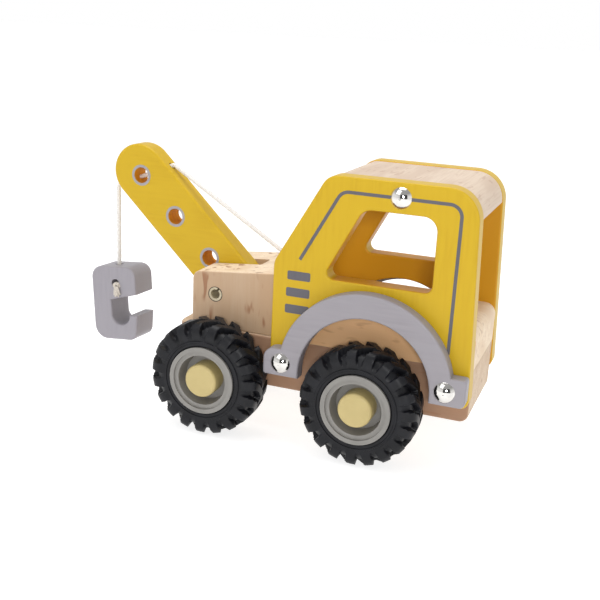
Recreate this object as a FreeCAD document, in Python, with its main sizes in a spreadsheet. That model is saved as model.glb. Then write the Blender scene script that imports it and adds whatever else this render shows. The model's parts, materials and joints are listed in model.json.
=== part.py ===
import FreeCAD, Part
import math
import os
import Sketcher

# Wooden toy tow truck. Millimetres, +Z up. The bonnet and the boom point to -X and the open back of the
# cab to +X, so the left side of the truck is -Y. In the dimensions and the outlines X is measured from
# the front axle; origin_x then moves the whole truck, so that the model's origin lies on the floor
# under the middle of its length. Y = 0 is the truck's middle plane.

V = FreeCAD.Vector
PARTS_DIR = "parts"
SIDES = {"left": -1, "right": 1}

DIMENSIONS = [
    # where the model's origin lies, measured from the front axle
    ("origin_x", 17.72),
    # running gear
    ("axle_z", 26.0),
    ("wheelbase", 71.3),
    ("axle_rad", 2.0),
    ("axle_bore_rad", 2.06),
    ("tyre_rad", 26.0),
    ("tread_rad", 23.4),
    ("tyre_width", 18.0),
    ("tyre_inner_y", 28.5),
    ("barrel_rad", 14.2),
    ("flange_rad", 15.3),
    ("dish_rad", 11.4),
    ("dish_floor", 10.5),
    ("boss_rad", 6.0),
    ("boss_reach", 4.2),
    ("cap_rad", 7.5),
    ("cap_top", 19.0),
    ("cap_edge_rad", 1.4),
    ("axle_in_cap", 14.0),
    # chassis board
    ("board_front", -24.0),
    ("board_rear", 114.6),
    ("board_half", 23.75),
    ("board_bottom", 20.0),
    ("board_top", 43.5),
    ("board_corner_rad", 6.0),
    ("board_tail_rad", 4.0),
    ("ease_rad", 0.9),
    # bonnet block, which the boom is hinged in
    ("hood_front", -16.8),
    ("hood_rear", 33.0),
    ("hood_half", 22.9),
    ("hood_z_front", 68.7),
    ("hood_z_rear", 73.6),
    ("hood_nose_rad", 4.0),
    ("hood_ease_rad", 0.7),
    ("slot_half", 5.7),
    ("slot_end", 9.8),
    ("slot_corner_rad", 1.5),
    ("cord_hole_x", 24.9),
    ("cord_hole_rad", 1.6),
    ("cord_hole_depth", 11.0),
    # cab floor block and roof block
    ("floor_top", 60.8),
    ("floor_edge_rad", 5.0),
    ("roof_bottom", 107.5),
    ("roof_inset", 0.4),
    ("roof_crown_rad", 12.3),
    # side panels
    ("panel_thick", 9.0),
    ("panel_front", 26.7),
    ("panel_bottom", 29.5),
    ("panel_knee_z", 81.0),
    ("panel_top", 120.6),
    ("panel_slant_x", 49.2),
    ("panel_rear_top", 112.0),
    ("panel_rear_bottom", 115.6),
    ("knee_rad", 9.0),
    ("brow_rad", 8.0),
    ("crown_rad", 13.5),
    ("panel_foot_rad", 3.5),
    ("arch_x", 70.0),
    ("arch_z", 34.7),
    ("arch_rad", 31.3),
    ("window_bottom", 76.6),
    ("window_top", 107.7),
    ("window_rear", 96.0),
    ("window_front_bottom", 49.0),
    ("window_front_top", 65.1),
    ("window_low_rad", 3.0),
    ("window_high_rad", 6.0),
    # fenders
    ("fender_thick", 6.75),
    ("right_fender_ahead", 1.4),
    ("fender_outer_rad", 38.1),
    ("fender_outer_z", 36.0),
    ("fender_inner_rad", 28.8),
    ("fender_bottom", 32.2),
    ("foot_top", 44.4),
    ("front_foot_reach", 45.0),
    ("rear_foot_reach", 43.9),
    ("front_foot_rad", 5.0),
    ("rear_foot_rad", 2.5),
    ("foot_corner_rad", 1.5),
    # dome nails
    ("nail_head_rad", 4.5),
    ("nail_head_rise", 2.3),
    ("nail_shank_rad", 1.0),
    ("nail_shank_len", 15.0),
    ("roof_nail_x", 80.3),
    ("roof_nail_z", 114.1),
    ("front_foot_nail_x", 34.4),
    ("rear_foot_nail_x", 106.4),
    ("foot_nail_z", 38.1),
    # boom, drawn level along -X from its pin and then raised
    ("pin_x", -5.2),
    ("pin_z", 59.2),
    ("pin_rad", 3.2),
    ("pin_bore_rad", 3.26),
    ("pin_hollow_rad", 2.2),
    ("pin_slit", 1.1),
    ("pin_slit_turn", 30.0),
    ("boom_raise", 44.0),
    ("boom_half", 13.3),
    ("boom_thick", 10.4),
    ("boom_tip", 70.0),
    ("boom_edge_rad", 1.3),
    ("boom_hole_rad", 3.75),
    ("boom_hole_first", 16.7),
    ("boom_hole_pitch", 25.65),
    ("entry_run", 61.8),
    ("exit_run", 73.2),
    # hook
    ("hook_top_x", -69.7),
    ("hook_top_z", 59.6),
    ("hook_lean", -5.2),
    ("hook_pitch", -2.6),
    ("hook_back", -11.3),
    ("hook_nose", 13.6),
    ("hook_chin", 12.2),
    ("hook_bottom", -36.9),
    ("hook_depth", 16.6),
    ("throat_back", -0.85),
    ("throat_top_back", -16.7),
    ("throat_top_nose", -13.6),
    ("throat_rad", 4.9),
    ("throat_mid_z", -24.3),
    ("hook_crown_rad", 5.5),
    ("hook_chin_rad", 4.5),
    ("hook_heel_rad", 7.0),
    ("hook_ease_rad", 1.0),
    ("hook_cord_hole_rad", 2.1),
    ("hook_cord_hole_depth", 10.6),
    ("hook_cross_x", 2.3),
    ("hook_cross_z", -8.3),
    ("hook_cross_rad", 2.2),
    # cord
    ("cord_rad", 1.05),
    ("cord_lift", 1.3),
    ("cord_anchor_z", 73.3),
    ("cord_pivot_z", 96.0),
    ("cord_neck", 3.0),
    ("cord_link", 3.0),
    ("cord_hook_run", 7.6),
    ("cord_entry_bend", 2.0),
    ("cord_exit_bend", 4.0),
]

doc = FreeCAD.newDocument("TowTruck")
sheet = doc.addObject("Spreadsheet::Sheet", "dims")
for row, (alias, value) in enumerate(DIMENSIONS, start=1):
    sheet.set(f"A{row}", alias)
    sheet.set(f"B{row}", str(value))
    sheet.setAlias(f"B{row}", alias)
doc.recompute()

D = {alias: float(sheet.get(alias)) for alias, _ in DIMENSIONS}
PARTS = []


# ---------------------------------------------------------------- helpers
def bind(obj, prop, expression):
    """obj's property follows an expression of the sheet's cells."""
    obj.setExpression(prop, expression)


def new_body(label, x="0", y="0", z="0", rotation=None):
    """A body named label, whose own origin lies at x, y, z: expressions, x counted from the front axle."""
    body = doc.addObject("PartDesign::Body", label)
    if rotation is not None:
        body.Placement = FreeCAD.Placement(V(), rotation)
    place(body, x, y, z)
    PARTS.append(body)
    return body


def place(obj, x, y, z):
    """Binds where obj's own origin lies."""
    bind(obj, "Placement.Base.x", f"({x}) - dims.origin_x")
    bind(obj, "Placement.Base.y", y)
    bind(obj, "Placement.Base.z", z)


def new_shape(label, shape, x=0.0, y=0.0, z=0.0, rotation=FreeCAD.Rotation()):
    """A sub-part whose shape is made with Part's own functions, at x, y, z."""
    part = doc.addObject("Part::Feature", label)
    part.Shape = shape
    part.Placement = FreeCAD.Placement(V(x - D["origin_x"], y, z), rotation)
    PARTS.append(part)
    return part


def new_sketch(body, plane, name):
    sketch = body.newObject("Sketcher::SketchObject", name)
    support = next(f for f in body.Origin.OriginFeatures if f.Role == plane)
    sketch.AttachmentSupport = [(support, "")]
    sketch.MapMode = "FlatFace"
    return sketch


def tie(sketch, kind, geometry, position, expression):
    """Holds one coordinate of a sketch point at an expression's value."""
    value = float(sketch.evalExpression(expression))
    number = sketch.addConstraint(Sketcher.Constraint(kind, -1, 1, geometry, position, value))
    bind(sketch, f"Constraints[{number}]", expression)


def outline(sketch, corners, arcs=None):
    """A closed outline through corners, pairs of expressions. arcs maps a side's number to the arc that
    replaces the line there: its centre's two expressions, +1 or -1 for its turn, and which of the
    centre's coordinates holds it."""
    arcs = arcs or {}
    values = [V(*(float(sketch.evalExpression(e)) for e in corner), 0) for corner in corners]
    ends = []
    for i, start in enumerate(values):
        end = values[(i + 1) % len(values)]
        if i not in arcs:
            side = sketch.addGeometry(Part.LineSegment(start, end), False)
            ends.append((side, 1, 2))
            continue
        centre_u, centre_v, turn, _ = arcs[i]
        centre = V(*(float(sketch.evalExpression(e)) for e in (centre_u, centre_v)), 0)
        first, last = (start, end) if turn > 0 else (end, start)
        angles = [math.atan2(p.y - centre.y, p.x - centre.x) for p in (first, last)]
        circle = Part.Circle(centre, V(0, 0, 1), (first - centre).Length)
        side = sketch.addGeometry(Part.ArcOfCircle(circle, *angles), False)
        ends.append((side, 1, 2) if turn > 0 else (side, 2, 1))
    for i, (side, _, last) in enumerate(ends):
        follower, first, _ = ends[(i + 1) % len(ends)]
        sketch.addConstraint(Sketcher.Constraint("Coincident", side, last, follower, first))
    for (side, first, _), (u, v) in zip(ends, corners):
        tie(sketch, "DistanceX", side, first, u)
        tie(sketch, "DistanceY", side, first, v)
    for i, (centre_u, centre_v, _, held) in arcs.items():
        expression = centre_u if held == "DistanceX" else centre_v
        tie(sketch, held, ends[i][0], 3, expression)


def circle(sketch, u, v, radius):
    """A circle whose centre and radius are expressions."""
    centre = V(*(float(sketch.evalExpression(e)) for e in (u, v)), 0)
    size = float(sketch.evalExpression(radius))
    number = sketch.addGeometry(Part.Circle(centre, V(0, 0, 1), size), False)
    tie(sketch, "DistanceX", number, 3, u)
    tie(sketch, "DistanceY", number, 3, v)
    constraint = sketch.addConstraint(Sketcher.Constraint("Radius", number, size))
    bind(sketch, f"Constraints[{constraint}]", radius)


def pad(body, sketch, length, name="Pad", both_ways=False):
    feature = body.newObject("PartDesign::Pad", name)
    feature.Profile = sketch
    feature.SideType = "Symmetric" if both_ways else "One side"
    bind(feature, "Length", length)
    doc.recompute()
    return feature


def cut_through(body, sketch, name):
    """A pocket right through the body, both ways from its sketch."""
    before = body.Shape.Volume
    feature = body.newObject("PartDesign::Pocket", name)
    feature.Profile = sketch
    feature.SideType = "Symmetric"
    feature.Type = "ThroughAll"
    doc.recompute()
    if not feature.Shape.Volume < before:
        raise RuntimeError(f"{body.Label}: {name} cuts nothing")
    return feature


def drill(body, name, centre, direction, radius, length):
    """A round hole from centre along direction. Radius and length are expressions."""
    before = body.Shape.Volume
    hole = body.newObject("PartDesign::SubtractiveCylinder", name)
    hole.Placement = FreeCAD.Placement(centre, FreeCAD.Rotation(V(0, 0, 1), direction))
    bind(hole, "Radius", radius)
    bind(hole, "Height", length)
    doc.recompute()
    if not hole.Shape.Volume < before:
        raise RuntimeError(f"{body.Label}: {name} cuts nothing")
    return hole


def revolve(body, sketch, name="Revolution"):
    """A full turn about the body's Z axis."""
    feature = body.newObject("PartDesign::Revolution", name)
    feature.Profile = sketch
    feature.ReferenceAxis = (sketch, ["V_Axis"])
    feature.Angle = 360
    doc.recompute()
    return feature


def round_edges(body, name, radius, wanted):
    """Fillets the edges that wanted picks, with an expression for the radius."""
    base = body.Tip
    names = [f"Edge{i}" for i, e in enumerate(base.Shape.Edges, start=1) if wanted(e)]
    feature = body.newObject("PartDesign::Fillet", name)
    feature.Base = (base, names)
    bind(feature, "Radius", radius)
    doc.recompute()
    if not names or not feature.Shape.isValid():
        raise RuntimeError(f"{body.Label}: {name} failed")
    return feature


def along(edge, axis):
    """True if edge is a straight line parallel to axis, 0 to 2 for X to Z."""
    if not isinstance(edge.Curve, Part.Line):
        return False
    return abs(abs(edge.Curve.Direction[axis]) - 1) < 1e-6


def near_corner(axis, corners):
    """Picks the edges along axis that pass a corner of the outline: pairs of numbers across that axis."""
    across = [i for i in range(3) if i != axis]

    def wanted(edge):
        if not along(edge, axis):
            return False
        middle = edge.CenterOfMass
        return any(math.hypot(middle[across[0]] - a, middle[across[1]] - b) < 0.6 for a, b in corners)

    return wanted


def on_plane(axis, values, clear_of=()):
    """Picks the edges that lie in the planes where the coordinate axis has one of values, except
    circles with a radius in clear_of."""

    def wanted(edge):
        box = edge.BoundBox
        low = (box.XMin, box.YMin, box.ZMin)[axis]
        high = (box.XMax, box.YMax, box.ZMax)[axis]
        flat = any(abs(low - v) < 1e-3 and abs(high - v) < 1e-3 for v in values)
        size = edge.Curve.Radius if isinstance(edge.Curve, Part.Circle) else None
        return flat and not any(size is not None and abs(size - r) < 1e-3 for r in clear_of)

    return wanted


# ---------------------------------------------------------------- chassis and the blocks on it
def chassis_board():
    body = new_body("chassis_board", z="dims.board_bottom")
    sketch = new_sketch(body, "XY_Plane", "Plan")
    ends = ("dims.board_front", "dims.board_rear")
    outline(
        sketch,
        [
            (ends[0], "-dims.board_half"),
            (ends[1], "-dims.board_half"),
            (ends[1], "dims.board_half"),
            (ends[0], "dims.board_half"),
        ],
    )
    height = D["board_top"] - D["board_bottom"]
    pad(body, sketch, "dims.board_top - dims.board_bottom")
    corners = [(D["board_front"], y) for y in (-D["board_half"], D["board_half"])]
    round_edges(body, "FrontCorners", "dims.board_corner_rad", near_corner(2, corners))
    tail = near_corner(1, [(D["board_rear"], 0.0)])
    round_edges(body, "Tail", "dims.board_tail_rad", tail)
    round_edges(body, "Eased", "dims.ease_rad", on_plane(2, (0.0, height)))
    for name, x in (("FrontBore", 0.0), ("RearBore", D["wheelbase"])):
        start = V(x, -D["board_half"] - 1, D["axle_z"] - D["board_bottom"])
        drill(body, name, start, V(0, 1, 0), "dims.axle_bore_rad", "2 * dims.board_half + 2")


def hood_block():
    body = new_body("hood_block")
    sketch = new_sketch(body, "XZ_Plane", "Side")
    outline(
        sketch,
        [
            ("dims.hood_front", "dims.board_top"),
            ("dims.hood_rear", "dims.board_top"),
            ("dims.hood_rear", "dims.hood_z_rear"),
            ("dims.hood_front", "dims.hood_z_front"),
        ],
    )
    pad(body, sketch, "2 * dims.hood_half", both_ways=True)
    nose = near_corner(1, [(D["hood_front"], D["hood_z_front"])])
    round_edges(body, "Nose", "dims.hood_nose_rad", nose)
    sides = (-D["hood_half"], D["hood_half"])
    round_edges(body, "Eased", "dims.hood_ease_rad", on_plane(1, sides))
    plan = new_sketch(body, "XY_Plane", "SlotPlan")
    outline(
        plan,
        [
            ("dims.hood_front - 1", "-dims.slot_half"),
            ("dims.slot_end", "-dims.slot_half"),
            ("dims.slot_end", "dims.slot_half"),
            ("dims.hood_front - 1", "dims.slot_half"),
        ],
    )
    cut_through(body, plan, "Slot")
    slot_corners = [(D["slot_end"], y) for y in (-D["slot_half"], D["slot_half"])]
    round_edges(body, "SlotCorners", "dims.slot_corner_rad", near_corner(2, slot_corners))
    side = new_sketch(body, "XZ_Plane", "PinHole")
    circle(side, "dims.pin_x", "dims.pin_z", "dims.pin_rad")
    cut_through(body, side, "PinBore")
    mouth = V(D["cord_hole_x"], 0, D["hood_z_rear"] + 1)
    drill(body, "CordHole", mouth, V(0, 0, -1), "dims.cord_hole_rad", "dims.cord_hole_depth")


def cab_floor_block():
    body = new_body("cab_floor_block", y="0", z="dims.board_top")
    sketch = new_sketch(body, "XZ_Plane", "Side")
    top = "dims.floor_top - dims.board_top"
    outline(
        sketch,
        [
            ("dims.hood_rear", "0"),
            ("dims.board_rear", "0"),
            ("dims.board_rear", top),
            ("dims.hood_rear", top),
        ],
    )
    pad(body, sketch, "2 * dims.board_half", both_ways=True)
    edge = near_corner(1, [(D["board_rear"], D["floor_top"] - D["board_top"])])
    round_edges(body, "BullNose", "dims.floor_edge_rad", edge)


def roof_block():
    """Fills the cab's top between the panels, and follows their outline a hair inside it."""
    body = new_body("roof_block")
    sketch = new_sketch(body, "XZ_Plane", "Side")
    lean = "(dims.panel_slant_x - dims.panel_front) / (dims.panel_top - dims.panel_knee_z)"
    back = "(dims.panel_rear_bottom - dims.panel_rear_top) / (dims.panel_top - dims.panel_bottom)"
    top = "dims.panel_top - dims.roof_inset"
    drop = "(dims.panel_top - dims.roof_bottom)"
    outline(
        sketch,
        [
            (f"dims.panel_slant_x - {drop} * {lean} + dims.roof_inset", "dims.roof_bottom"),
            (f"dims.panel_rear_top + {drop} * {back} - dims.roof_inset", "dims.roof_bottom"),
            ("dims.panel_rear_top - dims.roof_inset", top),
            ("dims.panel_slant_x + dims.roof_inset", top),
        ],
    )
    pad(body, sketch, "2 * dims.board_half", both_ways=True)
    height = D["panel_top"] - D["roof_inset"]
    brow = near_corner(1, [(D["panel_slant_x"] + D["roof_inset"], height)])
    round_edges(body, "Brow", "dims.brow_rad", brow)
    crown = near_corner(1, [(D["panel_rear_top"] - D["roof_inset"], height)])
    round_edges(body, "Crown", "dims.roof_crown_rad", crown)


# ---------------------------------------------------------------- cab sides
def outer_face(side, inner, thick):
    """Where a board's sketch plane lies: boards grow towards -Y from it."""
    return f"-({inner})" if side < 0 else f"{inner} + {thick}"


def side_panel(name, side):
    body = new_body(f"side_panel_{name}", y=outer_face(side, "dims.board_half", "dims.panel_thick"))
    sketch = new_sketch(body, "XZ_Plane", "Outline")
    front_leg = "dims.arch_x - dims.arch_rad"
    rear_leg = "dims.arch_x + dims.arch_rad"
    outline(
        sketch,
        [
            ("dims.panel_front", "dims.panel_bottom"),
            (front_leg, "dims.panel_bottom"),
            (front_leg, "dims.arch_z"),
            (rear_leg, "dims.arch_z"),
            (rear_leg, "dims.panel_bottom"),
            ("dims.panel_rear_bottom", "dims.panel_bottom"),
            ("dims.panel_rear_top", "dims.panel_top"),
            ("dims.panel_slant_x", "dims.panel_top"),
            ("dims.panel_front", "dims.panel_knee_z"),
        ],
        arcs={2: ("dims.arch_x", "dims.arch_z", -1, "DistanceY")},
    )
    pad(body, sketch, "dims.panel_thick")
    opening = new_sketch(body, "XZ_Plane", "WindowOutline")
    outline(
        opening,
        [
            ("dims.window_front_bottom", "dims.window_bottom"),
            ("dims.window_rear", "dims.window_bottom"),
            ("dims.window_rear", "dims.window_top"),
            ("dims.window_front_top", "dims.window_top"),
        ],
    )
    cut_through(body, opening, "Window")
    rounds = (
        ("Knee", "knee_rad", [(D["panel_front"], D["panel_knee_z"])]),
        ("Brow", "brow_rad", [(D["panel_slant_x"], D["panel_top"])]),
        ("Crown", "crown_rad", [(D["panel_rear_top"], D["panel_top"])]),
        (
            "Feet",
            "panel_foot_rad",
            [(D["panel_front"], D["panel_bottom"]), (D["panel_rear_bottom"], D["panel_bottom"])],
        ),
        (
            "WindowSill",
            "window_low_rad",
            [(D[x], D["window_bottom"]) for x in ("window_front_bottom", "window_rear")],
        ),
        (
            "WindowHead",
            "window_high_rad",
            [(D[x], D["window_top"]) for x in ("window_front_top", "window_rear")],
        ),
    )
    for feature, radius, corners in rounds:
        round_edges(body, feature, f"dims.{radius}", near_corner(1, corners))
    round_edges(body, "Eased", "dims.ease_rad", on_plane(1, (0.0, -D["panel_thick"])))


def fender(name, side):
    inner = "dims.board_half + dims.panel_thick"
    x = "dims.wheelbase" if side < 0 else "dims.wheelbase - dims.right_fender_ahead"
    body = new_body(f"fender_{name}", x=x, y=outer_face(side, inner, "dims.fender_thick"))
    sketch = new_sketch(body, "XZ_Plane", "Outline")
    rise = "(dims.foot_top - dims.fender_outer_z)"
    meet = f"sqrt(dims.fender_outer_rad ^ 2 - {rise} ^ 2)"
    outline(
        sketch,
        [
            ("-dims.front_foot_reach", "dims.fender_bottom"),
            ("-dims.fender_inner_rad", "dims.fender_bottom"),
            ("-dims.fender_inner_rad", "dims.arch_z"),
            ("dims.fender_inner_rad", "dims.arch_z"),
            ("dims.fender_inner_rad", "dims.fender_bottom"),
            ("dims.rear_foot_reach", "dims.fender_bottom"),
            ("dims.rear_foot_reach", "dims.foot_top"),
            (meet, "dims.foot_top"),
            (f"-{meet}", "dims.foot_top"),
            ("-dims.front_foot_reach", "dims.foot_top"),
        ],
        arcs={
            2: ("0", "dims.arch_z", -1, "DistanceY"),
            7: ("0", "dims.fender_outer_z", 1, "DistanceY"),
        },
    )
    pad(body, sketch, "dims.fender_thick")
    front, rear = -D["front_foot_reach"], D["rear_foot_reach"]
    low, high = D["fender_bottom"], D["foot_top"]
    round_edges(body, "FrontFoot", "dims.front_foot_rad", near_corner(1, [(front, high)]))
    round_edges(body, "RearFoot", "dims.rear_foot_rad", near_corner(1, [(rear, low)]))
    round_edges(body, "Corners", "dims.foot_corner_rad", near_corner(1, [(front, low), (rear, high)]))
    round_edges(body, "Eased", "dims.ease_rad", on_plane(1, (0.0, -D["fender_thick"])))


def dome_nail():
    """One nail along -Z from its head, whose flat underside is at z = 0."""
    rise = D["nail_head_rise"]
    sphere_rad = (D["nail_head_rad"] ** 2 + rise**2) / (2 * rise)
    ball = Part.makeSphere(sphere_rad, V(0, 0, rise - sphere_rad))
    keep = Part.makeCylinder(D["nail_head_rad"], rise + 1, V(0, 0, 0))
    head = ball.common(keep)
    shank = Part.makeCylinder(D["nail_shank_rad"], D["nail_shank_len"], V(0, 0, -D["nail_shank_len"]))
    return head.fuse(shank).removeSplitter()


def dome_nails(name, side):
    """One side's three nails: one through the panel into the roof, one in each foot of the fender."""
    panel_face = D["board_half"] + D["panel_thick"]
    fender_face = panel_face + D["fender_thick"]
    ahead = 0.0 if side < 0 else D["right_fender_ahead"]
    spots = [
        (D["roof_nail_x"], panel_face, D["roof_nail_z"]),
        (D["front_foot_nail_x"] - ahead, fender_face, D["foot_nail_z"]),
        (D["rear_foot_nail_x"] - ahead, fender_face, D["foot_nail_z"]),
    ]
    outwards = FreeCAD.Rotation(V(0, 0, 1), V(0, side, 0))
    nails = []
    for x, y, z in spots:
        nail = dome_nail()
        nail.Placement = FreeCAD.Placement(V(x, side * y, z), outwards)
        nails.append(nail)
    new_shape(f"dome_nails_{name}", Part.makeCompound(nails))


# ---------------------------------------------------------------- wheels
def wheel_parts(end, axle_x, name, side):
    """One wheel. Its parts are turned about their own Z axis, which then points out of the truck."""
    outwards = FreeCAD.Rotation(V(1, 0, 0), -90 * side)
    y = f"{side} * dims.tyre_inner_y"
    rim(f"rim_{end}_{name}", axle_x, y, outwards)
    hub_cap(f"hub_cap_{end}_{name}", axle_x, y, outwards)
    new_shape(
        f"tyre_{end}_{name}",
        tyre_shapes[side],
        D["wheelbase"] if end == "rear" else 0.0,
        side * D["tyre_inner_y"],
        D["axle_z"],
        outwards,
    )


def rim(label, x, y, rotation):
    body = new_body(label, x, y, "dims.axle_z", rotation)
    sketch = new_sketch(body, "XZ_Plane", "Section")
    face = "dims.tyre_width + 0.2"
    step = "(dims.flange_rad + dims.dish_rad) / 2"
    outline(
        sketch,
        [
            ("dims.axle_rad", "-dims.boss_reach"),
            ("dims.boss_rad", "-dims.boss_reach"),
            ("dims.boss_rad", "dims.dish_floor - 6"),
            ("dims.barrel_rad - 1.6", "dims.dish_floor - 6"),
            ("dims.barrel_rad - 1.6", "-0.2"),
            ("dims.flange_rad", "-0.2"),
            ("dims.flange_rad", "1"),
            ("dims.barrel_rad", "1"),
            ("dims.barrel_rad", "dims.tyre_width - 1"),
            ("dims.flange_rad", "dims.tyre_width - 1"),
            ("dims.flange_rad", face),
            (step, face),
            (step, "dims.tyre_width - 0.7"),
            ("dims.dish_rad", "dims.tyre_width - 0.7"),
            ("dims.dish_rad - 0.8", "dims.dish_floor"),
            ("dims.axle_rad", "dims.dish_floor"),
        ],
    )
    revolve(body, sketch)


def hub_cap(label, x, y, rotation):
    body = new_body(label, x, y, "dims.axle_z", rotation)
    sketch = new_sketch(body, "XZ_Plane", "Section")
    outline(
        sketch,
        [
            ("dims.axle_rad", "dims.dish_floor"),
            ("dims.cap_rad", "dims.dish_floor"),
            ("dims.cap_rad", "dims.cap_top - dims.cap_edge_rad"),
            ("dims.cap_rad - dims.cap_edge_rad", "dims.cap_top"),
            ("0", "dims.cap_top"),
            ("0", "dims.axle_in_cap"),
            ("dims.axle_rad", "dims.axle_in_cap"),
        ],
        arcs={2: ("dims.cap_rad - dims.cap_edge_rad", "dims.cap_top - dims.cap_edge_rad", 1, "DistanceX")},
    )
    revolve(body, sketch)


def ring(points):
    """A solid of revolution about Z from a closed section of (radius, height) points."""
    wire = Part.makePolygon([V(r, 0, h) for r, h in points + points[:1]])
    return Part.Face(wire).revolve(V(), V(0, 0, 1), 360)


def tyre_solid(turn):
    """A tyre with its inner face at z = 0: a smooth carcass, and slanting lugs that run from its middle
    over both shoulders, half a pitch apart. turn is which way they slant."""
    width = D["tyre_width"]
    bead = D["barrel_rad"]
    tread = D["tread_rad"]
    half_section = [(bead, 1.0), (bead + 1.4, 1.0), (bead + 1.8, 0.4), (19.5, 0.0), (22.4, 1.2), (tread, 3.6)]
    carcass = ring(half_section + [(r, width - h) for r, h in reversed(half_section)])
    half_lugs = [(20.5, 0.0), (23.0, 0.4), (D["tyre_rad"] - 0.6, 2.4), (D["tyre_rad"], 4.0)]
    far_lugs = [(r, width - h) for r, h in reversed(half_lugs)]
    envelope = ring([(20.0, 0.9)] + half_lugs + far_lugs + [(20.0, width - 0.9)])
    lugs_per_side = 18
    pitch = 360.0 / lugs_per_side
    lug_slant = 32.0
    lug_width = 3.8
    lug_height = D["tyre_rad"] - 20.5
    lugs = []
    for shoulder in (-1, 1):
        lug = Part.makeBox(lug_height + 1, lug_width, 14.0, V(20.5, -lug_width / 2, -1.2))
        lug.rotate(V(20.5, 0, 0), V(1, 0, 0), -turn * lug_slant)
        if shoulder < 0:
            lug = lug.mirror(V(), V(0, 0, 1))
        lug.translate(V(0, 0, width / 2))
        for i in range(lugs_per_side):
            one = lug.copy()
            one.rotate(V(), V(0, 0, 1), pitch * (i + (0.5 if shoulder > 0 else 0.0)))
            lugs.append(one.common(envelope))
    tyre = carcass.fuse(lugs).removeSplitter()
    if tyre.Volume < carcass.Volume + 500 or len(tyre.Solids) != 1:
        raise RuntimeError("the tyre's lugs are missing")
    return tyre.Solids[0]


def axle(label, x):
    """A plain round bar along Y that ends inside the hub caps."""
    bar = doc.addObject("Part::Cylinder", label)
    half = "(dims.tyre_inner_y + dims.axle_in_cap)"
    bind(bar, "Radius", "dims.axle_rad")
    bind(bar, "Height", f"2 * {half}")
    bar.Placement = FreeCAD.Placement(V(), FreeCAD.Rotation(V(1, 0, 0), 90))
    place(bar, x, half, "dims.axle_z")
    PARTS.append(bar)


# ---------------------------------------------------------------- boom
def boom():
    """Drawn level, from its pin at the origin along -X, and then raised about the pin."""
    body = new_body("boom", "dims.pin_x", "0", "dims.pin_z", FreeCAD.Rotation(V(0, 1, 0), D["boom_raise"]))
    sketch = new_sketch(body, "XZ_Plane", "Outline")
    outline(
        sketch,
        [
            ("-dims.boom_tip", "-dims.boom_half"),
            ("0", "-dims.boom_half"),
            ("0", "dims.boom_half"),
            ("-dims.boom_tip", "dims.boom_half"),
        ],
        arcs={
            1: ("0", "0", 1, "DistanceX"),
            3: ("-dims.boom_tip", "0", 1, "DistanceX"),
        },
    )
    pad(body, sketch, "dims.boom_thick", both_ways=True)
    faces = (-D["boom_thick"] / 2, D["boom_thick"] / 2)
    round_edges(body, "Eased", "dims.boom_edge_rad", on_plane(1, faces))
    holes = new_sketch(body, "XZ_Plane", "Holes")
    for i in range(3):
        circle(holes, f"-dims.boom_hole_first - {i} * dims.boom_hole_pitch", "0", "dims.boom_hole_rad")
    circle(holes, "0", "0", "dims.pin_bore_rad")
    cut_through(body, holes, "ThroughHoles")
    entry, leave = channel_ends()
    way = (leave - entry).normalize()
    drill(body, "CordChannel", entry - way * 3, way, "dims.cord_hole_rad", f"{(leave - entry).Length + 8}")


def channel_ends():
    """Where the cord's channel breaks the boom's two edges, in the level boom's own frame."""
    entry = V(-D["entry_run"], 0, D["boom_half"])
    over = D["exit_run"] - D["boom_tip"]
    leave = V(-D["exit_run"], 0, -math.sqrt(D["boom_half"] ** 2 - over**2))
    return entry, leave


def boom_roll_pin():
    """A spring pin: a rolled tube with a slit along it, turned a little back from its top."""
    length = 2 * D["hood_half"]
    tube = Part.makeCylinder(D["pin_rad"], length).cut(Part.makeCylinder(D["pin_hollow_rad"], length))
    slit = Part.makeBox(D["pin_slit"], D["pin_rad"] + 1, length, V(-D["pin_slit"] / 2, 0, 0))
    slit.rotate(V(), V(0, 0, 1), -D["pin_slit_turn"])
    lying = FreeCAD.Rotation(V(1, 0, 0), 90)
    new_shape("boom_roll_pin", tube.cut(slit), D["pin_x"], D["hood_half"], D["pin_z"], lying)


# ---------------------------------------------------------------- hook
def hook_rotation():
    """The hook hangs a little askew: it leans in the truck's middle plane, and its foot swings out of it."""
    lean = FreeCAD.Rotation(V(0, 1, 0), D["hook_lean"])
    return lean.multiply(FreeCAD.Rotation(V(1, 0, 0), D["hook_pitch"]))


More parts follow.
